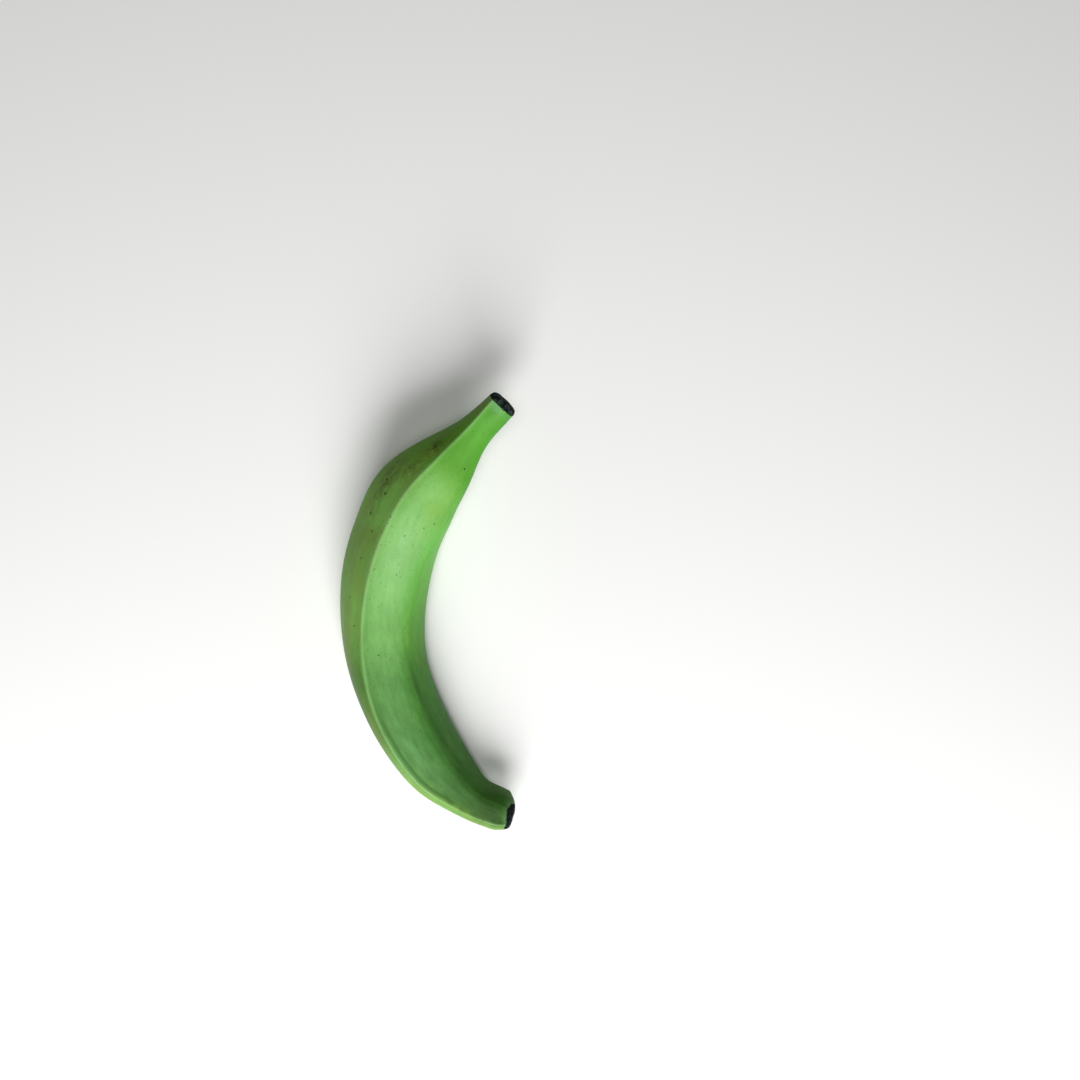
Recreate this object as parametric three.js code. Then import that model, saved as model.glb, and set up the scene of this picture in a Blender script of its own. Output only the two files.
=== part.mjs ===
// A green plantain: one fruit as picked, with its cut stem and its blossom end, lying on its flank.
// Millimetres, +Z up. The origin is on the surface that the fruit lies on, under the middle of its bounding box.
// Seen from above, the stem points to +X +Y, the back of the bend to -X, and the blossom end to +X -Y.

import * as THREE from "three";
import { mergeVertices } from "three/addons/utils/BufferGeometryUtils.js";

// Sections square to the fruit's middle line, evenly spaced from the cut stem to the blossom end.
// x, y: the middle of the section. width: across the bend. height: upwards. under: the gap below its lowest point.
const SECTIONS = [
  { x: 42.9, y: 119.6, width: 17.8, height: 16.5, under: 24.5 },
  { x: 25.7, y: 102.6, width: 21.5, height: 20.5, under: 18.0 },
  { x: 9.0, y: 85.2, width: 38.0, height: 36.0, under: 8.0 },
  { x: -7.4, y: 66.9, width: 49.4, height: 46.6, under: 1.0 },
  { x: -17.8, y: 45.0, width: 49.6, height: 48.6, under: -0.4 },
  { x: -24.2, y: 21.8, width: 49.8, height: 48.5, under: 0.4 },
  { x: -26.6, y: -2.6, width: 48.0, height: 46.8, under: -0.9 },
  { x: -24.6, y: -27.0, width: 45.2, height: 44.8, under: -0.5 },
  { x: -17.7, y: -50.2, width: 42.8, height: 42.5, under: 0.6 },
  { x: -6.7, y: -72.0, width: 40.4, height: 40.0, under: 0.2 },
  { x: 7.4, y: -91.8, width: 36.0, height: 36.0, under: -0.7 },
  { x: 25.2, y: -108.0, width: 25.2, height: 27.5, under: 4.0 },
  { x: 41.5, y: -115.1, width: 23.8, height: 23.0, under: 8.5 },
];

// Where the five long ridges run at each section, in degrees round it: 0 faces the inside of the bend, 90 faces up,
// 180 faces the back of the bend and 270 faces down.
const RIDGES = {
  inner_top: [40, 25, 28, 36, 42, 48, 52, 54, 57, 62, 66, 68, 70],
  outer_top: [120, 109, 102, 101, 104, 108, 113, 118, 123, 126, 126, 125, 125],
  back: [205, 190, 178, 177, 181, 186, 191, 197, 204, 209, 214, 212, 212],
  under: [262, 258, 255, 255, 258, 262, 265, 270, 275, 279, 283, 284, 284],
  inner_low: [330, 322, 320, 326, 331, 335, 338, 341, 344, 348, 351, 353, 355],
};
// How far each section leans to the inside of the bend: this share of the way across is taken off its height.
const LEANS = [0.1, 0.24, 0.36, 0.36, 0.3, 0.26, 0.28, 0.33, 0.4, 0.46, 0.48, 0.4, 0.3];
// How tightly each ridge is creased, in the order of RIDGES: a high number is a sharp edge.
const CREASES = [9, 26, 14, 12, 10];
// How far each face is filled out from flat, 0, towards round, 1: at the neck, over the body and at the blossom end.
const FULLNESS = [0.6, 0.46, 0.36, 0.32, 0.32, 0.34, 0.36, 0.38, 0.4, 0.42, 0.46, 0.56, 0.7];
// The raised bead along the crest of each ridge, in the order of RIDGES.
const BEAD_HEIGHTS = [0.1, 0.45, 0.25, 0.3, 0.2];
const BEAD_HALF_WIDTH = 1.3;

// Each end is closed by rings: share is how wide the ring is, against the section it closes, and out is how far it
// stands past that section. The cut end has dried rounded, a little hollow in its middle. The blossom end is a dome
// with a shallow scar in it.
const STEM_CUT = [
  { share: 0.97, out: 0.9 },
  { share: 0.87, out: 2.1 },
  { share: 0.7, out: 2.9 },
  { share: 0.46, out: 3.1 },
  { share: 0.22, out: 2.7 },
  { share: 0, out: 2.9 },
];
const BLOSSOM_END = [
  { share: 0.955, out: 1.7 },
  { share: 0.86, out: 3.7 },
  { share: 0.76, out: 5.5 },
  { share: 0.62, out: 7.2 },
  { share: 0.45, out: 8.2 },
  { share: 0.22, out: 8.2 },
  { share: 0, out: 8.5 },
];
// The dome is skewed: its outer side stands out by this much more, and its inner side by this much less.
const BLOSSOM_SKEW = 0.3;

const RINGS = 76;
const SIDES_PER_FACE = 8;
const FULL_TURN = 360;
// The steps that a section is measured in before it is scaled to its width and height.
const MEASURING_STEPS = 180;
// The step along the fruit for its direction.
const DIRECTION_STEP = 0.004;
// How strongly the vertices round the fruit gather at its ridges: 0 spaces them evenly.
const GATHER = 0.55;

const ridgeNames = Object.keys(RIDGES);
const sides = ridgeNames.length * SIDES_PER_FACE;
const radians = (degrees) => (degrees * Math.PI) / 180;

// The value at t, from 0 at the stem to 1 at the blossom end, on a smooth curve through evenly spaced values.
function along(values, t) {
  const spans = values.length - 1;
  const i = Math.min(Math.max(Math.floor(t * spans), 0), spans - 1);
  const f = t * spans - i;
  const b = values[i];
  const c = values[i + 1];
  const a = i > 0 ? values[i - 1] : 2 * b - c;
  const d = i + 2 <= spans ? values[i + 2] : 2 * c - b;
  return b + 0.5 * f * (c - a + f * (2 * a - 5 * b + 4 * c - d + f * (3 * (b - c) + d - a)));
}

const sectionValue = (name, t) => along(SECTIONS.map((s) => s[name]), t);

// The angles of the five ridges at t, with the first one again a full turn on.
function ridgeAngles(t) {
  const angles = ridgeNames.map((name) => along(RIDGES[name], t));
  return [...angles, angles[0] + FULL_TURN];
}

// The direction at a turn, from 0 to 1 round the section. Each of the five faces has an equal share of the turn.
function angleAt(turn, angles) {
  const faces = ridgeNames.length;
  const place = (turn - Math.floor(turn)) * faces;
  const face = Math.min(Math.floor(place), faces - 1);
  const even = place - face;
  const share = even - (GATHER * Math.sin(2 * Math.PI * even)) / (2 * Math.PI);
  return { angle: angles[face] + share * (angles[face + 1] - angles[face]), face, share };
}

// The distance from the middle to the skin, on a section whose ridges are 1 from its middle.
function reach(angle, face, share, angles, fullness) {
  const faces = ridgeNames.length;
  const next = (face + 1) % faces;
  const crease = CREASES[face] * (1 - share) + CREASES[next] * share;
  let sum = 0;
  for (let k = 0; k < faces; k++) {
    const middle = (angles[k] + angles[k + 1]) / 2;
    const toFace = Math.cos(radians((angles[k + 1] - angles[k]) / 2));
    sum += Math.max(0, Math.cos(radians(angle - middle)) / toFace) ** crease;
  }
  const flat = sum ** (-1 / crease);
  return flat + fullness * (1 - flat);
}

// The skin at turn round section t, across the bend and upwards from the section's middle.
function unscaledPoint(turn, t, angles) {
  const { angle, face, share } = angleAt(turn, angles);
  const r = reach(angle, face, share, angles, along(FULLNESS, t));
  const across = r * Math.cos(radians(angle));
  const up = r * Math.sin(radians(angle)) - along(LEANS, t) * across;
  return { face, share, across, up };
}

// The skin at each of the given turns of section t, scaled to the section's width and height, with the ridges' beads.
function sectionPoints(t, turns) {
  const angles = ridgeAngles(t);
  const steps = Array.from({ length: MEASURING_STEPS }, (_, k) => unscaledPoint(k / MEASURING_STEPS, t, angles));
  const range = (key) => [Math.min(...steps.map((p) => p[key])), Math.max(...steps.map((p) => p[key]))];
  const [left, right] = range("across");
  const [low, high] = range("up");
  const width = sectionValue("width", t);
  const height = sectionValue("height", t);
  return turns.map((turn) => {
    const p = unscaledPoint(turn, t, angles);
    const across = ((p.across - (left + right) / 2) * width) / (right - left);
    const up = ((p.up - (low + high) / 2) * height) / (high - low);
    const toRidge = radians(Math.min(p.share, 1 - p.share) * (angles[p.face + 1] - angles[p.face])) * (width / 2);
    const ridge = (p.face + Math.round(p.share)) % ridgeNames.length;
    const bead = BEAD_HEIGHTS[ridge] * Math.exp(-((toRidge / BEAD_HALF_WIDTH) ** 2));
    const grow = 1 + bead / Math.hypot(across, up);
    return { across: across * grow, up: up * grow };
  });
}

// The middle line: it keeps each section's lowest point at its gap above the surface.
function middleLine(t) {
  const z = sectionValue("under", t) + sectionValue("height", t) / 2;
  return new THREE.Vector3(sectionValue("x", t), sectionValue("y", t), z);
}

// The rings of the whole fruit, from the middle of the cut stem to the middle of the blossom scar.
function ringList() {
  const body = Array.from({ length: RINGS + 1 }, (_, k) => ({ t: k / RINGS, share: 1, out: 0, skew: 0 }));
  const stem = STEM_CUT.map((ring) => ({ t: 0, share: ring.share, out: -ring.out, skew: 0 })).reverse();
  const blossom = BLOSSOM_END.map((ring) => ({ t: 1, share: ring.share, out: ring.out, skew: BLOSSOM_SKEW }));
  return [...stem, ...body, ...blossom];
}

// The fruit is a turned shape with one profile point for each ring, whose vertices are then moved to the skin.
function fruitGeometry() {
  const rings = ringList();
  const profile = rings.map((ring, j) => new THREE.Vector2(ring.share, j));
  const geometry = new THREE.LatheGeometry(profile, sides);
  const place = geometry.getAttribute("position");
  const turns = Array.from({ length: sides + 1 }, (_, i) => i / sides);
  const worldUp = new THREE.Vector3(0, 0, 1);
  rings.forEach((ring, j) => {
    const before = middleLine(ring.t - DIRECTION_STEP);
    const after = middleLine(ring.t + DIRECTION_STEP);
    const forward = after.sub(before).normalize();
    const across = new THREE.Vector3().crossVectors(worldUp, forward).normalize();
    const up = new THREE.Vector3().crossVectors(forward, across);
    const halfWidth = sectionValue("width", ring.t) / 2;
    sectionPoints(ring.t, turns).forEach((point, i) => {
      const out = ring.out * (1 - (ring.skew * ring.share * point.across) / halfWidth);
      const skin = middleLine(ring.t)
        .addScaledVector(forward, out)
        .addScaledVector(across, point.across * ring.share)
        .addScaledVector(up, point.up * ring.share);
      // The weight of the fruit presses it flat where it touches the surface.
      place.setXYZ(i * rings.length + j, skin.x, skin.y, Math.max(skin.z, 0));
    });
  });
  return geometry;
}

// Centres the fruit over the origin, and shares the vertices along the seam and at the two ends.
function finished(geometry) {
  geometry.deleteAttribute("normal");
  geometry.deleteAttribute("uv");
  geometry.computeBoundingBox();
  const middle = geometry.boundingBox.getCenter(new THREE.Vector3());
  geometry.translate(-middle.x, -middle.y, -geometry.boundingBox.min.z);
  const merged = mergeVertices(geometry, 1e-3);
  merged.computeVertexNormals();
  return merged;
}

// Green peel with a satin, waxy skin.
const peel = new THREE.MeshStandardMaterial({ color: 0x74aa57, roughness: 0.5, metalness: 0 });

const fruit = new THREE.Mesh(finished(fruitGeometry()), peel);
fruit.name = "plantain";

const part = new THREE.Group();
part.add(fruit);

export default part;
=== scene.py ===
"""One green plantain as picked, lying on its flank on a pale floor, seen from above in soft light."""
import math

import bmesh
import bpy
import numpy as np
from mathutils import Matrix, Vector, noise


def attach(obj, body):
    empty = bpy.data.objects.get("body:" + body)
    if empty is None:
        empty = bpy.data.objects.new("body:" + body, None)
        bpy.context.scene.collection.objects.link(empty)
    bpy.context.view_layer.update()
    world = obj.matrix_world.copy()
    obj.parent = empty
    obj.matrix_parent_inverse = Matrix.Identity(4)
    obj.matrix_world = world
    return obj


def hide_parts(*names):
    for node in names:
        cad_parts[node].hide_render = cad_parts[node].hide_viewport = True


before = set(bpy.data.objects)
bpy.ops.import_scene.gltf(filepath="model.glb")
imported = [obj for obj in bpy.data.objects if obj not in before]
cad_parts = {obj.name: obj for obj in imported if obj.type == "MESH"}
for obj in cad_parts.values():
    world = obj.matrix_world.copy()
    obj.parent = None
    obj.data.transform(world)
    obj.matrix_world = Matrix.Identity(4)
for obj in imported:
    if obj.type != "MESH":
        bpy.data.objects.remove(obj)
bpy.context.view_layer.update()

MM = 0.001
FULL_TURN = 360

# The fruit's own sizes in mm, from the cut stem to the blossom end in even steps along its middle line: the
# place of each section, its width across the bend, its height, and the gap below its lowest point.
SECTION_X = (42.9, 25.7, 9.0, -7.4, -17.8, -24.2, -26.6, -24.6, -17.7, -6.7, 7.4, 25.2, 41.5)
SECTION_Y = (119.6, 102.6, 85.2, 66.9, 45.0, 21.8, -2.6, -27.0, -50.2, -72.0, -91.8, -108.0, -115.1)
WIDTH = (17.8, 21.5, 38.0, 49.4, 49.6, 49.8, 48.0, 45.2, 42.8, 40.4, 36.0, 25.2, 23.8)
HEIGHT = (16.5, 20.5, 36.0, 46.6, 48.6, 48.5, 46.8, 44.8, 42.5, 40.0, 36.0, 27.5, 23.0)
UNDER = (24.5, 18.0, 8.0, 1.0, -0.4, 0.4, -0.9, -0.5, 0.6, 0.2, -0.7, 4.0, 8.5)
# Where the five long ridges run at each section, in degrees: 0 faces the inside of the bend, 90 faces up.
RIDGES = {
    "inner_top": (40, 25, 28, 36, 42, 48, 52, 54, 57, 62, 66, 68, 70),
    "outer_top": (120, 109, 102, 101, 104, 108, 113, 118, 123, 126, 126, 125, 125),
    "back": (205, 190, 178, 177, 181, 186, 191, 197, 204, 209, 214, 212, 212),
    "under": (262, 258, 255, 255, 258, 262, 265, 270, 275, 279, 283, 284, 284),
    "inner_low": (330, 322, 320, 326, 331, 335, 338, 341, 344, 348, 351, 353, 355),
}
FACES = len(RIDGES)
OUTER_TOP = list(RIDGES).index("outer_top")
# How far each section leans to the inside of the bend: its height loses this share of the way across.
LEANS = (0.1, 0.24, 0.36, 0.36, 0.3, 0.26, 0.28, 0.33, 0.4, 0.46, 0.48, 0.4, 0.3)
# How tightly each ridge is creased, in the order of RIDGES: a high number is a sharp edge.
CREASES = np.array((9, 26, 14, 12, 10))
# How far the faces of each section are filled out from flat, 0, towards round, 1.
FULLNESS = (0.6, 0.46, 0.36, 0.32, 0.32, 0.34, 0.36, 0.38, 0.4, 0.42, 0.46, 0.56, 0.7)
# The raised bead along the crest of each ridge, in mm: its heights, in the order of RIDGES, and half width.
BEAD_HEIGHTS = np.array((0.1, 0.45, 0.25, 0.3, 0.2))
BEAD_HALF_WIDTH = 1.3
# The rings that close each end: the share of the section that each one has, and how far past it, in mm.
STEM_CUT = ((0, 2.9), (0.22, 2.7), (0.46, 3.1), (0.7, 2.9), (0.87, 2.1), (0.97, 0.9), (1, 0))
BLOSSOM_END = (
    (1, 0), (0.955, 1.7), (0.86, 3.7), (0.76, 5.5), (0.62, 7.2), (0.45, 8.2), (0.22, 8.2), (0, 8.5),
)
# The dome of the blossom end is skewed: its outer side stands out by this share more, its inner one less.
BLOSSOM_SKEW = 0.3
FRUIT_LENGTH = 286.6
# A section's value is averaged over these steps of t before and after its own place, with these weights.
SOFTENING = ((-0.025, 1 / 16), (-0.0125, 4 / 16), (0.0, 6 / 16), (0.0125, 4 / 16), (0.025, 1 / 16))

# The fine mesh: rings along the body and across each end, and sides round the fruit.
BODY_RINGS = 380
END_RINGS = 16
SIDES = 220
# The steps round a section that its width and height are measured in, and the step of t for its direction.
MEASURING_STEPS = 720
DIRECTION_STEP = 0.004
# Vertices within this distance of each other, in metres, become one.
MERGE_WITHIN = 1e-6

# The relief of the skin: the height of each kind, and its size across and along the fruit, all in mm. The
# flesh under the peel isn't quite even, and the faces have long shallow furrows.
UNEVENNESS = (0.4, 18.0, 45.0)
FURROWS = (0.14, 6.0, 90.0)
# Dried flesh shrinks into wrinkles and lumps. They fade out over this stretch, in mm past the edge of the
# dried skin.
WRINKLES = (0.25, 1.3, 1.6)
LUMPS = (0.5, 3.5, 3.0)
WRINKLES_FADE = (-0.5, 0.8)
# The fibres of the peel show as fine ribs. Within the last length here from the dried skin, where the fruit
# narrows, they grow by the second height.
RIB_SIZE = (1.4, 40.0)
RIB_HEIGHT = 0.02
END_RIB_HEIGHT = 0.03
NEAR_END = 25.0

# Marks of the peel: how far along the fruit each one is, its turn round the fruit, half its length and half
# its width in mm, and its strength. Rubbed brown places on the shaded side of the neck and of the shoulder:
SCUFFS = (
    (0.147, 0.265, 4.5, 4.0, 1.3),
    (0.2, 0.25, 9.0, 4.5, 0.7),
    (0.217, 0.34, 9.0, 4.0, 0.5),
    (0.252, 0.31, 10.0, 5.0, 0.85),
    (0.31, 0.29, 10.0, 4.0, 0.3),
)
# Small dark bruises near the blossom end.
BRUISES = (
    (0.861, 0.985, 4.5, 2.6, 1.0),
    (0.826, 0.131, 4.0, 1.6, 0.7),
    (0.875, 0.156, 3.5, 1.2, 0.8),
    (0.957, 0.989, 3.0, 1.8, 0.7),
    (0.776, 0.965, 8.0, 1.6, 0.8),
)
# A yellower patch on the inner side of the shoulder, and a lime green stretch beside the ridge at the tip.
WARM_PLACES = (
    (0.25, 0.062, 21.0, 6.5, 1.0),
    (0.9, 0.19, 18.0, 3.0, 0.8),
)
# Where the waxy bloom, partly a painted sheen, is strongest: on the top face, and at the very edge of the
# blossom end.
BLOOM_AND_SHEEN_PLACES = (
    (0.31, 0.118, 26.0, 5.0, 1.0),
    (0.41, 0.11, 20.0, 5.0, 0.8),
    (0.745, 0.125, 28.0, 6.0, 0.45),
    (0.985, 0.21, 3.0, 3.5, 0.6),
)
# The strong dark specks: how far along the fruit each one is, its turn round it, and its radius in mm.
SPECKS = (
    (0.511, 0.244, 0.87),
    (0.27, 0.278, 1.09),
    (0.312, 0.304, 0.94),
    (0.344, 0.255, 0.87),
    (0.142, 0.056, 0.87),
    (0.25, 0.319, 1.01),
    (0.21, 0.268, 0.72),
    (0.395, 0.262, 0.65),
    (0.46, 0.285, 0.65),
    (0.6, 0.27, 0.72),
    (0.68, 0.3, 0.58),
    (0.33, 0.12, 0.58),
    (0.41, 0.09, 0.51),
    (0.57, 0.13, 0.58),
    (0.254, 0.297, 0.6),
    (0.285, 0.325, 0.6),
    (0.339, 0.209, 0.55),
    (0.304, 0.203, 0.55),
    (0.28, 0.035, 0.75),
    (0.299, 0.062, 0.6),
    (0.972, 0.2, 0.6),
)
# The outline of a strong speck is uneven within this share of its radius.
SPECK_STRAY = 0.8
# A strong speck is darkest within this share of its radius.
SPECK_CORE = 0.35
# Fine specks, and the flecks of rubbed places: the size of the cells that hold one each, and the largest
# radius, in mm. They are darkest within this share of it.
FINE_SPECKS = (2.4, 0.5)
FLECKS = (1.5, 0.5)
FINE_CORE = 0.5

# Where some looks of the peel come in and where they go again. Round the fruit, in turns:
BACK = ((0.203, 0.226), (0.5, 0.6))
INNER_SIDE = ((-0.42, -0.3), (-0.03, 0.07))
# Along the fruit, from 0 at the cut stem to 1 at the blossom end:
# The deeper green of the back of the neck, partly painted shade, fades out over this stretch.
DARK_NECK_GOES = (0.12, 0.26)
BROWN_EDGE = ((0.18, 0.25), (0.4, 0.6))
# Stretches of painted shade: beside the outer top crest, on the back's lower half, and in the channel.
CREST_SIDE = ((0.15, 0.22), (0.68, 0.8))
LOWER_BACK = ((0.5, 0.62), (0.68, 0.8))
CHANNEL = ((0.66, 0.76), (0.86, 0.95))
TOWARDS_TIP = (0.3, 0.8)
# Painted shade darkens the crest of the outer top ridge towards the tip in two steps: how much, and from
# where to where.
TIP_EDGE = ((0.65, 0.84, 0.92), (0.45, 0.93, 0.98))
# How pale the crest of each ridge is, partly its own colour and partly a painted highlight, in the order of
# RIDGES.
CREST_PALENESS = np.array((0.2, 1.0, 0.7, 0.5, 0.3))
# Half widths in mm, and for the brown edge and the narrow channel also the distance from the crest.
CREST_HALF_WIDTH = 0.9
CREST_SIDE_HALF_WIDTH = 4.5
TIP_EDGE_HALF_WIDTH = 5.0
BROWN_EDGE_HALF_WIDTH = 1.1
BROWN_EDGE_FROM_CREST = 1.7
# The narrow channel beside the crest is also darkened with painted shade.
CHANNEL_HALF_WIDTH = 0.8
CHANNEL_FROM_CREST = 2.6
CHANNEL_DEPTH = 0.12
# The dark stripe along the inner side of the lower half: its two ends, the stretches over which it comes in
# and goes again, its turn at even steps between its ends, and half its width in turns.
STRIPE_START, STRIPE_END = 0.52, 0.93
STRIPE_COMES, STRIPE_GOES = 0.12, 0.08
STRIPE_TURNS = (0.006, -0.004, -0.02, -0.036, -0.05, -0.056)
STRIPE_HALF_TURN = 0.014
# The side of the neck where the pale rim below the cut is strongest, and half its width, in turns.
FRONT_TURN = 0.14
FRONT_HALF_TURN = 0.07
# How far the dried skin reaches down from the rim of the cut, in mm.
DRY_REACH = 0.8
# The dried scar of the blossom, in mm: its middle, across and up from the end's middle, and its radius.
SCAR_MIDDLE = (-1.2, 0.4)
SCAR_RADIUS = 8.2
# How far the edge of the dried skin strays, and half the width over which it turns black, in mm.
RAGGEDNESS = 2.0
DRY_EDGE_HALF_WIDTH = 0.25
# The pale rims beside the dried skin: where they begin and where they are full, in mm past it, and their
# strength. The rim below the cut shows this much all round, and this much more on the neck's front.
CUT_RIM = (6.0, 0.5)
CUT_RIM_STRENGTH = 1.6
CUT_RIM_SHARE = (0.12, 0.5)
SCAR_RIM = (1.8, 0.3)
SCAR_RIM_STRENGTH = 0.36
# A length in mm that is beyond the reach of every mark.
FAR = 99.0

# The peel's patterns: the size of their patches across and along the fruit in mm, and how finely these are
# broken up. Where two more values follow, the pattern is cut at them into clear patches.
PATTERNS = {
    "blotches": (15.0, 34.0, 3.0),
    "streaks": (1.5, 48.0, 3.0),
    "grain": (0.55, 0.8, 2.0),
    "warmth": (26.0, 38.0, 1.0),
    "clouds": (3.2, 8.0, 3.0),
    "olive": (11.0, 24.0, 3.0, 0.42, 0.62),
    "broken": (2.6, 6.0, 3.0, 0.35, 0.6),
    "wax_and_sheen": (5.0, 13.0, 2.0, 0.35, 0.65),
    "smudge": (2.4, 3.6, 4.0, 0.36, 0.6),
    "speck_outline": (0.5, 0.5, 2.0),
    "rim": (2.4, 3.5, 2.0),
    "ragged": (2.0, 2.6, 4.0),
    "fibre_ends": (2.0, 2.4, 3.0, 0.44, 0.7),
}
# The peel's greens, from the cut stem to the blossom end: paler on the shoulder, partly as a painted
# highlight, and darker towards the blossom end, partly as painted shade.
PEEL_GREENS = (
    (0.0, "529533"),
    (0.15, "5e9f3a"),
    (0.22, "7bb660"),
    (0.35, "8cc676"),
    (0.52, "75ab5d"),
    (0.66, "5c924d"),
    (0.8, "588849"),
    (1.0, "466d34"),
)
# The colours of its marks, of the dried skin and the ends of its fibres, and of the floor.
OLIVE_BROWN = "74823d"
STRIPE_GREEN = "2f5a20"
SCUFF_BROWN = "33361a"
SPECK_GREEN = "1c2f14"
PALE_RIM = "7fb481"
DRY_BLACK = "07130f"
DRY_FIBRE = "657a70"
FLOOR_WHITE = "f4f4f2"
# What changes the green over wide parts of the fruit, in this order: where, how much of it shows, the
# colour, and how it is laid on. The inner side is a deeper, darker green, partly painted shade. The back is
# olive and darker, partly painted shade, and painted shade darkens its lower half, the outer top crest near
# the tip, and the back of the neck, which is also a deeper green. The crests are pale, partly a painted
# highlight, and painted shade darkens the edges of the outer top one.
WIDE_TINTS = (
    ("inner_side", 1.0, "cbeea6", "MULTIPLY"),
    ("back_face", 0.85, "6d9b44", "MIX"),
    ("shaded_back", 1.0, "bcc4b6", "MULTIPLY"),
    ("dark_neck", 1.0, "dceda4", "MULTIPLY"),
    ("beside_crest", 1.0, "e2e4d4", "MULTIPLY"),
    ("crest", 0.35, "9ccb80", "MIX"),
)
# What is laid over the green in smaller places, in this order: where, how much of it shows all over there,
# how much more shows in its patches, the pattern of these, and the colour. The skin is browner just below
# the ridge, some places are yellower, the waxy bloom is pale, partly a painted sheen, the stripe and the
# bruises are dark, and the channel is darkened with painted shade.
SMALL_TINTS = (
    ("brown_edge", 0.12, 0.3, "broken", OLIVE_BROWN),
    ("warm_places", 0.15, 0.3, "broken", "92bf4b"),
    ("bloom_and_sheen", 0.05, 0.2, "wax_and_sheen", "ade29f"),
    ("stripe", 0.45, 0.0, "broken", STRIPE_GREEN),
    ("channel", 0.55, 0.0, "broken", STRIPE_GREEN),
    ("bruises", 0.2, 0.45, "broken", STRIPE_GREEN),
)
# How strongly the fibres, the cloudy patches and the olive mottling show: on the shoulder, and what is added
# to that towards the blossom end.
FIBRE_CONTRAST = (0.1, 0.14)
CLOUD_CONTRAST = (0.26, 0.36)
OLIVE_SHARE = (0.46, -0.22)
# The peel's brightness and hue against its greens, and how far its patterns change them.
PEEL_BRIGHTNESS = 0.77
BLOTCH_CONTRAST = 0.34
GRAIN_CONTRAST = 0.12
PEEL_HUE = 0.488
WARMTH_CONTRAST = 0.024
# How strongly a rubbed place shows all over, in its smudges, and in the flecks of these.
RUBBED_SHARE, SMUDGE_SHARE, FLECK_SHARE = 0.08, 0.5, 0.6
# How strongly the specks show, and how strong the fine ones are beside the others.
SPECK_SHARE = 0.88
FINE_SPECK_SHARE = 0.55
# How much of the grey fibres shows on the cut, and what is added to that on the blossom scar.
FIBRE_SHARE = (0.36, -0.3)
# The satin of the peel: how rough it is, how much rougher in its blotches, and how much rougher where dry.
PEEL_ROUGHNESS = 0.39
BLOTCH_ROUGHNESS = 0.12
DRY_ROUGHNESS = 0.4
PEEL_IOR = 1.2
FLOOR_ROUGHNESS = 0.9
# The height of the peel's finest relief in mm, and the share that each pattern has in it.
BUMP_HEIGHT = 0.06
GRAIN_BUMP = 0.35
STREAK_BUMP = 0.4
SPECK_BUMP = -0.5
DRY_BUMP = 3.0

# The photo: its side in pixels, the real length in mm of one at the fruit's mid height, and the pixel where
# the middle of the fruit's box is.
PHOTO_SIDE = 1080
MM_PER_PIXEL = 0.58
FRUIT_PIXEL = (428.0, 611.6)
# The fruit's mid height, the height of the camera above the photo's middle, and its sensor's width, in mm.
MID_HEIGHT = 22.0
CAMERA_HEIGHT = 1000.0
SENSOR_WIDTH = 36.0
# How far the floor reaches to each side, in metres, and the strength of the light from all round.
FLOOR_REACH = 30.0
SURROUNDINGS_STRENGTH = 0.04


def curve(values, t):
    """The value at t, from 0 to 1, on a smooth curve through evenly spaced values."""
    values = np.asarray(values, float)
    t = np.asarray(t, float)
    spans = len(values) - 1
    i = np.clip(np.floor(t * spans).astype(int), 0, spans - 1)
    f = t * spans - i
    b, c = values[i], values[i + 1]
    a = np.where(i > 0, values[np.maximum(i - 1, 0)], 2 * b - c)
    d = np.where(i + 2 <= spans, values[np.minimum(i + 2, spans)], 2 * c - b)
    return b + 0.5 * f * (c - a + f * (2 * a - 5 * b + 4 * c - d + f * (3 * (b - c) + d - a)))


def along(values, t):
    """The sections' value at t, from 0 at the cut stem to 1 at the blossom end.

    It is averaged over a short stretch, so that no line shows round the fruit where two spans of the curve
    meet.
    """
    return sum(weight * curve(values, np.asarray(t) + step) for step, weight in SOFTENING)


def ridge_angles(t):
    """The angles of the ridges at each t, one row for each, with the first again a full turn on."""
    rows = [along(RIDGES[name], t) for name in RIDGES]
    return np.stack([*rows, rows[0] + FULL_TURN])


def unscaled_skin(turn, t):
    """The skin at each pair of turn, from 0 to 1 round the section, and t, across the bend and upwards.

    The ridges are 1 from the middle here. Also the face that the pair is on, its share of the way across
    that face, and the angle that the face spans.
    """
    angles = ridge_angles(t)
    pair = np.arange(len(t))
    face = np.minimum((turn * FACES).astype(int), FACES - 1)
    share = turn * FACES - face
    span = angles[face + 1, pair] - angles[face, pair]
    angle = angles[face, pair] + share * span
    crease = CREASES[face] * (1 - share) + CREASES[(face + 1) % FACES] * share
    total = 0
    for k in range(FACES):
        middle = (angles[k] + angles[k + 1]) / 2
        to_face = np.cos(np.radians((angles[k + 1] - angles[k]) / 2))
        total = total + np.maximum(0, np.cos(np.radians(angle - middle)) / to_face) ** crease
    flat = total ** (-1 / crease)
    reach = flat + along(FULLNESS, t) * (1 - flat)
    across = reach * np.cos(np.radians(angle))
    up = reach * np.sin(np.radians(angle)) - along(LEANS, t) * across
    return across, up, face, share, np.radians(span)


def section_ranges(t):
    """The lowest and highest of the unscaled skin of each section, across the bend and upwards."""
    turns = np.tile(np.arange(MEASURING_STEPS) / MEASURING_STEPS, len(t))
    across, up, *_ = unscaled_skin(turns, np.repeat(t, MEASURING_STEPS))
    across, up = across.reshape(len(t), -1), up.reshape(len(t), -1)
    return np.stack([across.min(1), across.max(1), up.min(1), up.max(1)])


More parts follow.
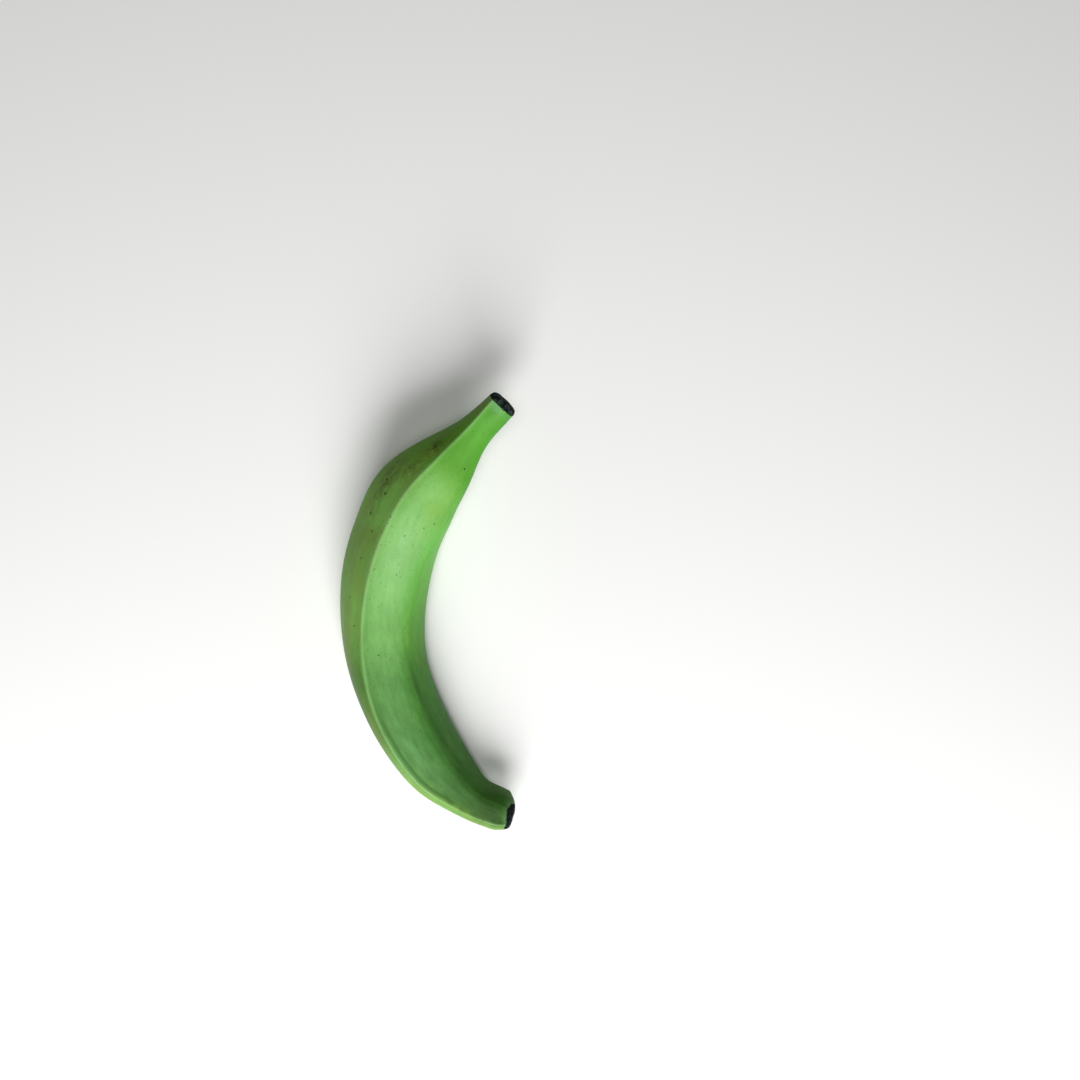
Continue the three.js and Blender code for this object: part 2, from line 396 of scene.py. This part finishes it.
def skin_in_section(turn, t, ranges):
    """As unscaled_skin, but with each section at its real width and height, in mm."""
    across, up, face, share, span = unscaled_skin(turn, t)
    left, right, low, high = ranges
    across = (across - (left + right) / 2) * along(WIDTH, t) / (right - left)
    up = (up - (low + high) / 2) * along(HEIGHT, t) / (high - low)
    return across, up, face, share, span


def middle_line(t):
    """The middle of each section, which keeps the section's lowest point at its gap above the floor."""
    height = along(UNDER, t) + along(HEIGHT, t) / 2
    return np.stack([along(SECTION_X, t), along(SECTION_Y, t), height], axis=1)


def directions(t):
    """Unit vectors at each t: forwards along the fruit, across the bend, and upwards, square to both."""
    forward = middle_line(t + DIRECTION_STEP) - middle_line(t - DIRECTION_STEP)
    forward /= np.linalg.norm(forward, axis=1)[:, None]
    across = np.cross((0.0, 0.0, 1.0), forward)
    across /= np.linalg.norm(across, axis=1)[:, None]
    return forward, across, np.cross(forward, across)


def ring_table():
    """The t of each ring from the cut to the blossom end, its share of the section, and how far past it."""
    steps = np.linspace(0, 1, END_RINGS + 1)
    stem_share, stem_out = (curve(values, steps) for values in zip(*STEM_CUT))
    tip_share, tip_out = (curve(values, steps) for values in zip(*BLOSSOM_END))
    body = np.linspace(0, 1, BODY_RINGS + 1)
    t = np.concatenate([np.zeros(END_RINGS), body, np.ones(END_RINGS)])
    share = np.concatenate([stem_share[:-1], np.ones(len(body)), tip_share[1:]])
    out = np.concatenate([-stem_out[:-1], np.zeros(len(body)), tip_out[1:]])
    return t, np.clip(share, 0, 1), out


def ease(value, low, high):
    """0 at low and 1 at high, eased at both ends."""
    place = np.clip((value - low) / (high - low), 0, 1)
    return place * place * (3 - 2 * place)


def between(value, comes, goes):
    """1 between two stretches, eased in over the first and out over the second."""
    return ease(value, *comes) * (1 - ease(value, *goes))


def bell(value, half_width):
    """1 where the value is 0, falling off to both sides."""
    return np.exp(-((value / half_width) ** 2))


def half_turned(turn):
    """The turn as -0.5 to 0.5."""
    return (turn + 0.5) % 1 - 0.5


def nearest_ridge(face, face_share, face_width):
    """The ridge that is nearest to each vertex, and how far away it is, in mm."""
    ridge = np.where(face_share < 0.5, face, (face + 1) % FACES)
    return ridge, np.minimum(face_share, 1 - face_share) * face_width


def swell(place, height, size_across, size_along):
    """Smooth noise up to this height at places on the straight fruit, with swells of these sizes, in mm."""
    sizes = np.array((size_across, size_across, size_along))
    return height * np.array([noise.noise(Vector(point)) for point in place / sizes])


def relief(place, past_cut, past_scar, channel):
    """How far the skin stands out or in, in mm."""
    past_dry = np.minimum(past_cut, past_scar)
    rib_height = RIB_HEIGHT + END_RIB_HEIGHT * (1 - ease(past_dry, 0, NEAR_END))
    dried = 1 - ease(past_dry, *WRINKLES_FADE)
    return (
        swell(place, *UNEVENNESS)
        + swell(place, *FURROWS)
        + swell(place, rib_height, *RIB_SIZE)
        + dried * (swell(place, *WRINKLES) + swell(place, *LUMPS))
        - CHANNEL_DEPTH * channel
    )


def marks(places, turn, t, girth):
    """The strength of each mark in its middle, falling off round it."""
    return sum(
        strength
        * bell((t - place) * FRUIT_LENGTH, half_length)
        * bell(half_turned(turn - at) * girth, half_width)
        for place, at, half_length, half_width, strength in places
    )


def peel_map(turn, t, share, out, across, up, face, face_share, face_width):
    """What the peel's material and relief need to know at each vertex, by name, with lengths in mm."""
    length = t * FRUIT_LENGTH
    # Lengths past the edge of the dried skin at each end, below 0 on the dried skin.
    past_cut = np.where(share < 1, (share - 1) * np.hypot(across, up), length) - DRY_REACH
    from_scar = np.hypot(across * share - SCAR_MIDDLE[0], up * share - SCAR_MIDDLE[1])
    past_scar = from_scar - SCAR_RADIUS + (FRUIT_LENGTH - length)
    girth = math.pi * (along(WIDTH, t) + along(HEIGHT, t)) / 2
    ridge, to_ridge = nearest_ridge(face, face_share, face_width)
    # Below 0 on the inner side of the outer top ridge, and above 0 on its outer side.
    past_crest = np.select(
        [face == OUTER_TOP - 1, face == OUTER_TOP],
        [(face_share - 1) * face_width, face_share * face_width],
        default=FAR,
    )
    # The turn from the inner top ridge: above 0 over the top face, below 0 down the inner side.
    side_turn = half_turned(turn)
    stripe_line = np.interp(t, np.linspace(STRIPE_START, STRIPE_END, len(STRIPE_TURNS)), STRIPE_TURNS)
    stripe_comes = (STRIPE_START, STRIPE_START + STRIPE_COMES)
    stripe_goes = (STRIPE_END - STRIPE_GOES, STRIPE_END)
    back = between(turn, *BACK)
    # Painted shade along the outer top crest near the blossom end.
    tip_edge = bell(past_crest, TIP_EDGE_HALF_WIDTH) * sum(
        amount * ease(t, low, high) for amount, low, high in TIP_EDGE
    )
    from_channel = past_crest + CHANNEL_FROM_CREST
    from_brown_edge = past_crest - BROWN_EDGE_FROM_CREST
    return {
        "straight": np.stack([across * share, up * share, length + out], axis=1),
        "lengthwise": t,
        "past_cut": np.where(t < 0.5, past_cut, FRUIT_LENGTH),
        "past_scar": np.where(t > 0.5, past_scar, FRUIT_LENGTH),
        # Pale crests, partly a painted highlight, and painted shade beside the outer top one.
        "crest": bell(to_ridge, CREST_HALF_WIDTH) * CREST_PALENESS[ridge],
        "beside_crest": bell(past_crest, CREST_SIDE_HALF_WIDTH) * between(t, *CREST_SIDE),
        # A deeper green on the back of the neck, partly painted shade.
        "dark_neck": back * (1 - ease(t, *DARK_NECK_GOES)),
        "front": bell(turn - FRONT_TURN, FRONT_HALF_TURN),
        # A deeper green inner side and an olive back, both partly painted shade; more painted shade on the
        # lower back.
        "inner_side": between(side_turn, *INNER_SIDE),
        "back_face": back,
        "shaded_back": back * between(t, *LOWER_BACK) + tip_edge,
        "scuffs": marks(SCUFFS, turn, t, girth),
        "bruises": marks(BRUISES, turn, t, girth),
        "warm_places": marks(WARM_PLACES, turn, t, girth),
        # The waxy bloom, partly a painted sheen.
        "bloom_and_sheen": marks(BLOOM_AND_SHEEN_PLACES, turn, t, girth),
        "brown_edge": bell(from_brown_edge, BROWN_EDGE_HALF_WIDTH) * between(t, *BROWN_EDGE),
        "stripe": bell(side_turn - stripe_line, STRIPE_HALF_TURN) * between(t, stripe_comes, stripe_goes),
        # Painted shade in the narrow channel beside the crest.
        "channel": bell(from_channel, CHANNEL_HALF_WIDTH) * between(t, *CHANNEL),
    }


def tube(rings):
    """A straight upright tube of this many rings, with the ring and the turn of each of its vertices."""
    shape = bmesh.new()
    bmesh.ops.create_cone(shape, cap_ends=False, segments=SIDES, radius1=1, radius2=1, depth=1)
    upright = [e for e in shape.edges if abs(e.verts[0].co.z - e.verts[1].co.z) > 0.5]
    bmesh.ops.subdivide_edges(shape, edges=upright, cuts=rings - 2, use_grid_fill=True)
    place = np.array([v.co for v in shape.verts])
    ring = np.round((place[:, 2] + 0.5) * (rings - 1)).astype(int)
    turn = np.round(np.arctan2(place[:, 1], place[:, 0]) / (2 * math.pi) * SIDES) / SIDES % 1
    return shape, ring, turn


def keep(shape, name, values):
    """Keeps these values on the vertices under this name, where the material finds them."""
    kinds = shape.verts.layers.float_vector if values.ndim == 2 else shape.verts.layers.float
    layer = kinds.new(name)
    for vert, value in zip(shape.verts, values.tolist()):
        vert[layer] = value


def in_scene(name, data):
    """A new object of this name in the scene."""
    thing = bpy.data.objects.new(name, data)
    bpy.context.scene.collection.objects.link(thing)
    return thing


def piece_of(name, shape, material):
    """A piece of this name with this shape and material."""
    mesh = bpy.data.meshes.new(name)
    shape.to_mesh(mesh)
    shape.free()
    mesh.materials.append(material)
    return in_scene(name, mesh)


def fruit_piece():
    """The fruit: a straight tube whose vertices are moved to the skin."""
    ring_t, ring_share, ring_out = ring_table()
    shape, ring, turn = tube(len(ring_t))
    t, share, out = ring_t[ring], ring_share[ring], ring_out[ring]
    across, up, face, face_share, span = skin_in_section(turn, t, section_ranges(ring_t)[:, ring])
    half_width = along(WIDTH, t) / 2
    face_width = span * half_width
    peel = peel_map(turn, t, share, out, across, up, face, face_share, face_width)

    ridge, to_ridge = nearest_ridge(face, face_share, face_width)
    bead = BEAD_HEIGHTS[ridge] * bell(to_ridge, BEAD_HALF_WIDTH)
    stands_out = relief(peel["straight"], peel["past_cut"], peel["past_scar"], peel["channel"])
    grow = 1 + (bead + stands_out) / np.hypot(across, up)
    skew = np.where(t > 0.5, BLOSSOM_SKEW, 0)
    out = out * (1 - skew * share * across / half_width)
    # On the closed ends the relief stands out along the fruit.
    out += np.where(t < 0.5, -1, 1) * stands_out * (1 - share)
    forward, across_way, up_way = directions(t)
    skin = middle_line(t) + forward * out[:, None]
    skin += across_way * (across * grow * share)[:, None] + up_way * (up * grow * share)[:, None]
    # The weight of the fruit presses it flat where it touches the floor.
    skin[:, 2] = np.maximum(skin[:, 2], 0)
    middle = (skin.min(0) + skin.max(0)) / 2
    skin[:, :2] -= middle[:2]
    for vert, point in zip(shape.verts, skin * MM):
        vert.co = point

    # The material reads lengths in metres.
    for name in ("straight", "past_cut", "past_scar"):
        peel[name] = peel[name] * MM
    for name, values in peel.items():
        keep(shape, name, values)
    bmesh.ops.remove_doubles(shape, verts=shape.verts, dist=MERGE_WITHIN)
    bmesh.ops.recalc_face_normals(shape, faces=shape.faces)
    piece = piece_of("green_plantain", shape, peel_material())
    piece.data.shade_smooth()
    return piece


def linear(hex_colour):
    """An sRGB hex colour as linear RGBA."""
    srgb = [int(hex_colour[i:i + 2], 16) / 255 for i in (0, 2, 4)]
    rgb = [c / 12.92 if c <= 0.04045 else ((c + 0.055) / 1.055) ** 2.4 for c in srgb]
    return (*rgb, 1.0)


def add(tree, kind, inputs=None, **settings):
    """A node of this kind with these settings. Each input, by name or place, takes a value or an output."""
    node = tree.nodes.new(kind)
    for name, value in settings.items():
        setattr(node, name, value)
    for name, value in (inputs or {}).items():
        if isinstance(value, bpy.types.NodeSocket):
            tree.links.new(value, node.inputs[name])
        else:
            node.inputs[name].default_value = value
    return node


def new_material(name):
    """An empty node material with its output."""
    material = bpy.data.materials.new(name)
    material.use_nodes = True
    material.node_tree.nodes.clear()
    output = material.node_tree.nodes.new("ShaderNodeOutputMaterial")
    return material, material.node_tree, output


def attribute(tree, name, output="Fac"):
    """What the mesh holds under this name."""
    return add(tree, "ShaderNodeAttribute", attribute_name=name).outputs[output]


def eased(tree, value, low, high):
    """0 at low and 1 at high, eased at both ends."""
    inputs = {"Value": value, "From Min": low, "From Max": high}
    return add(tree, "ShaderNodeMapRange", inputs, interpolation_type="SMOOTHSTEP").outputs["Result"]


def calculated(tree, operation, *values):
    """What this operation makes of the values."""
    return add(tree, "ShaderNodeMath", dict(enumerate(values)), operation=operation).outputs[0]


def times(tree, first, second):
    """The two values multiplied."""
    return calculated(tree, "MULTIPLY", first, second)


def weighed_sum(tree, start, *weighed):
    """start, plus each value times its weight."""
    total = start
    for value, weight in weighed:
        total = calculated(tree, "MULTIPLY_ADD", value, weight, total)
    return total


def tinted(tree, amount, under, over, way="MIX"):
    """The second colour laid over the first by this amount."""
    inputs = {0: amount, 6: under, 7: linear(over) if isinstance(over, str) else over}
    return add(tree, "ShaderNodeMix", inputs, data_type="RGBA", blend_type=way).outputs[2]


def sized(tree, place, size_across, size_along):
    """Places on the straight fruit in units of a pattern's own size, given in mm."""
    scale = (1 / (size_across * MM), 1 / (size_across * MM), 1 / (size_along * MM))
    return add(tree, "ShaderNodeMapping", {"Vector": place, "Scale": scale}).outputs["Vector"]


def pattern(tree, place, name):
    """One of PATTERNS: soft noise around 0.5, or clear patches from 0 to 1."""
    size_across, size_along, detail, *edges = PATTERNS[name]
    inputs = {"Vector": sized(tree, place, size_across, size_along), "Scale": 1.0, "Detail": detail}
    soft = add(tree, "ShaderNodeTexNoise", inputs).outputs["Fac"]
    return eased(tree, soft, *edges) if edges else soft


def centred(tree, soft):
    """Soft noise around 0.5 moved to lie around 0."""
    return weighed_sum(tree, -0.5, (soft, 1.0))


def specks(tree, place, cell, radius):
    """Round specks up to this radius, one in each cell of this size, in mm, some of them much fainter."""
    inputs = {"Vector": sized(tree, place, cell, cell), "Scale": 1.0}
    cells = add(tree, "ShaderNodeTexVoronoi", inputs)
    inside = eased(tree, cells.outputs["Distance"], radius / cell, radius / cell * FINE_CORE)
    strength = add(tree, "ShaderNodeSeparateColor", {"Color": cells.outputs["Color"]}).outputs[0]
    return times(tree, inside, strength)


def strong_specks(tree, place):
    """The specks of SPECKS, each a little uneven in outline."""
    t, turn, radius = (np.array(values) for values in zip(*SPECKS))
    across, up, *_ = skin_in_section(turn, t, section_ranges(t))
    uneven = pattern(tree, place, "speck_outline")
    darkest = 0.0
    for point, size in zip(np.stack([across, up, t * FRUIT_LENGTH], axis=1) * MM, radius * MM):
        inputs = {0: place, 1: tuple(point)}
        distance = add(tree, "ShaderNodeVectorMath", inputs, operation="DISTANCE").outputs["Value"]
        stray = SPECK_STRAY * size
        distance = weighed_sum(tree, -0.5 * stray, (distance, 1.0), (uneven, stray))
        inside = eased(tree, distance, size, SPECK_CORE * size)
        darkest = calculated(tree, "MAXIMUM", inside, darkest)
    return darkest


def colour_along(tree, value, stops):
    """A colour that changes with the value, through these places and hex colours."""
    node = add(tree, "ShaderNodeValToRGB", {"Fac": value})
    bands = node.color_ramp
    bands.interpolation = "EASE"
    while len(bands.elements) < len(stops):
        bands.elements.new(0.5)
    places, colours = zip(*stops)
    for element, place in zip(bands.elements, places):
        element.position = place
    for element, colour in zip(bands.elements, colours):
        element.color = linear(colour)
    return node.outputs["Color"]


def peel_colour(tree, place, blotches, streaks, grain):
    """The green of the peel: a vivid stem, a pale shoulder with some painted highlight, a deep tip with some
    painted shade.
    """
    lengthwise = attribute(tree, "lengthwise")
    towards_tip = eased(tree, lengthwise, *TOWARDS_TIP)
    green = colour_along(tree, lengthwise, PEEL_GREENS)
    # Wide tints: a deeper green inner side and an olive back with some painted shade, painted shade on the
    # lower back, the neck and beside the outer top crest, and pale crests with some painted highlight.
    for name, share, colour, way in WIDE_TINTS:
        green = tinted(tree, times(tree, attribute(tree, name), share), green, colour, way)

    # Slow blotches of paler and yellower green, cloudy patches, long fibres, and the pores of the skin.
    fibre_contrast, cloud_contrast, olive_share = (
        weighed_sum(tree, start, (towards_tip, more))
        for start, more in (FIBRE_CONTRAST, CLOUD_CONTRAST, OLIVE_SHARE)
    )
    fibres = times(tree, centred(tree, streaks), fibre_contrast)
    clouds = times(tree, centred(tree, pattern(tree, place, "clouds")), cloud_contrast)
    brightness = weighed_sum(tree, PEEL_BRIGHTNESS, (blotches, BLOTCH_CONTRAST), (fibres, 1.0))
    brightness = weighed_sum(tree, brightness, (clouds, 1.0), (grain, GRAIN_CONTRAST))
    hue = weighed_sum(tree, PEEL_HUE, (pattern(tree, place, "warmth"), WARMTH_CONTRAST))
    inputs = {"Hue": hue, "Saturation": 1.0, "Value": brightness, "Fac": 1.0, "Color": green}
    green = add(tree, "ShaderNodeHueSaturation", inputs).outputs["Color"]

    # The back is mottled with olive.
    mottled = times(tree, attribute(tree, "back_face"), pattern(tree, place, "olive"))
    green = tinted(tree, times(tree, mottled, olive_share), green, OLIVE_BROWN)
    patches = {name: pattern(tree, place, name) for name in ("broken", "wax_and_sheen")}
    # Small tints, among them a waxy bloom that is partly a painted sheen, and painted shade in the channel.
    for name, share, more, kind, colour in SMALL_TINTS:
        amount = times(tree, attribute(tree, name), weighed_sum(tree, share, (patches[kind], more)))
        green = tinted(tree, amount, green, colour)
    # Rubbed places have turned a dull brown, darker in small flecks.
    smudge = pattern(tree, place, "smudge")
    flecks = times(tree, smudge, specks(tree, place, *FLECKS))
    rubbed = weighed_sum(tree, RUBBED_SHARE, (smudge, SMUDGE_SHARE), (flecks, FLECK_SHARE))
    return tinted(tree, times(tree, attribute(tree, "scuffs"), rubbed), green, SCUFF_BROWN)


def pale_rims(tree, place, past_cut, past_scar):
    """How strongly the pale, bluish rims beside the dried skin show."""
    below_cut = weighed_sum(tree, CUT_RIM_SHARE[0], (attribute(tree, "front"), CUT_RIM_SHARE[1]))
    below_cut = times(tree, eased(tree, past_cut, CUT_RIM[0] * MM, CUT_RIM[1] * MM), below_cut)
    beside_scar = eased(tree, past_scar, SCAR_RIM[0] * MM, SCAR_RIM[1] * MM)
    both = weighed_sum(tree, 0.0, (below_cut, CUT_RIM_STRENGTH), (beside_scar, SCAR_RIM_STRENGTH))
    return times(tree, both, pattern(tree, place, "rim"))


def dry_colour(tree, place):
    """Dried flesh: near black, with a few grey ends of fibres, more of them on the cut than on the scar."""
    shown = weighed_sum(tree, FIBRE_SHARE[0], (attribute(tree, "lengthwise"), FIBRE_SHARE[1]))
    fibre_ends = times(tree, pattern(tree, place, "fibre_ends"), shown)
    return tinted(tree, fibre_ends, linear(DRY_BLACK), DRY_FIBRE)


def peel_material():
    """Unripe plantain peel.

    It looks waxy and satin, green with darker specks and long faint fibres, and dried black at both ends.
    """
    material, tree, output = new_material("unripe_plantain_peel")
    place = attribute(tree, "straight", "Vector")
    blotches, streaks, grain = (pattern(tree, place, name) for name in ("blotches", "streaks", "grain"))
    colour = peel_colour(tree, place, blotches, streaks, grain)

    # Dark specks: the strong ones, and many fine and faint ones.
    fine = times(tree, specks(tree, place, *FINE_SPECKS), FINE_SPECK_SHARE)
    spots = calculated(tree, "MAXIMUM", strong_specks(tree, place), fine)
    colour = tinted(tree, times(tree, spots, SPECK_SHARE), colour, SPECK_GREEN)

    # The dried skin has a ragged edge.
    past_cut, past_scar = attribute(tree, "past_cut"), attribute(tree, "past_scar")
    colour = tinted(tree, pale_rims(tree, place, past_cut, past_scar), colour, PALE_RIM)
    ragged = pattern(tree, place, "ragged")
    past_dry = calculated(tree, "MINIMUM", past_cut, past_scar)
    past_dry = weighed_sum(tree, 0.5 * RAGGEDNESS * MM, (past_dry, 1.0), (ragged, -RAGGEDNESS * MM))
    dry = eased(tree, past_dry, DRY_EDGE_HALF_WIDTH * MM, -DRY_EDGE_HALF_WIDTH * MM)
    colour = tinted(tree, dry, colour, dry_colour(tree, place))

    roughness = weighed_sum(tree, PEEL_ROUGHNESS, (blotches, BLOTCH_ROUGHNESS), (dry, DRY_ROUGHNESS))
    dried_bumps = times(tree, ragged, dry)
    height = weighed_sum(
        tree, 0.0, (grain, GRAIN_BUMP), (streaks, STREAK_BUMP), (spots, SPECK_BUMP), (dried_bumps, DRY_BUMP)
    )
    inputs = {"Strength": 1.0, "Distance": BUMP_HEIGHT * MM, "Height": height}
    normal = add(tree, "ShaderNodeBump", inputs).outputs["Normal"]
    inputs = {"Base Color": colour, "Roughness": roughness, "IOR": PEEL_IOR, "Normal": normal}
    shader = add(tree, "ShaderNodeBsdfPrincipled", inputs)
    tree.links.new(shader.outputs["BSDF"], output.inputs["Surface"])
    return material


def floor():
    """A pale matt floor: near white and without shine, so that only the fruit's soft shadow shows on it."""
    material, tree, output = new_material("pale_matt_floor")
    inputs = {"Base Color": linear(FLOOR_WHITE), "Roughness": FLOOR_ROUGHNESS}
    shader = add(tree, "ShaderNodeBsdfPrincipled", inputs)
    tree.links.new(shader.outputs["BSDF"], output.inputs["Surface"])
    shape = bmesh.new()
    bmesh.ops.create_grid(shape, x_segments=1, y_segments=1, size=FLOOR_REACH)
    piece = piece_of("floor", shape, material)


def camera():
    """A camera straight above the photo's middle, whose lens makes the fruit as large as in the photo."""
    data = bpy.data.cameras.new("camera")
    data.sensor_width = SENSOR_WIDTH
    data.lens = data.sensor_width * (CAMERA_HEIGHT - MID_HEIGHT) / (PHOTO_SIDE * MM_PER_PIXEL)
    eye = in_scene("camera", data)
    right = (PHOTO_SIDE / 2 - FRUIT_PIXEL[0]) * MM_PER_PIXEL
    forward = (FRUIT_PIXEL[1] - PHOTO_SIDE / 2) * MM_PER_PIXEL
    eye.location = Vector((right, forward, CAMERA_HEIGHT)) * MM
    bpy.context.scene.camera = eye


def soft_light(name, towards, distance, size, watts):
    """A square area light, this far from the fruit in the direction towards, facing the fruit."""
    data = bpy.data.lights.new(name, "AREA")
    data.size = size
    data.energy = watts
    lamp = in_scene(name, data)
    way = Vector(towards).normalized()
    lamp.location = way * distance
    lamp.rotation_euler = (-way).to_track_quat("-Z", "Y").to_euler()


def surroundings():
    """Even white light from all round."""
    world = bpy.data.worlds.new("even_white_surroundings")
    world.use_nodes = True
    background = world.node_tree.nodes["Background"]
    background.inputs["Color"].default_value = (1, 1, 1, 1)
    background.inputs["Strength"].default_value = SURROUNDINGS_STRENGTH
    bpy.context.scene.world = world


bpy.context.scene.view_settings.view_transform = "Standard"
camera()
surroundings()
soft_light("window_light", towards=(0.0, -0.85, 0.6), distance=1.5, size=1.0, watts=34.5)
soft_light("ceiling_light", towards=(0.0, 0.0, 1.0), distance=1.5, size=0.6, watts=6)
floor()
fruit = fruit_piece()
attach(fruit, "root")
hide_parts("plantain")
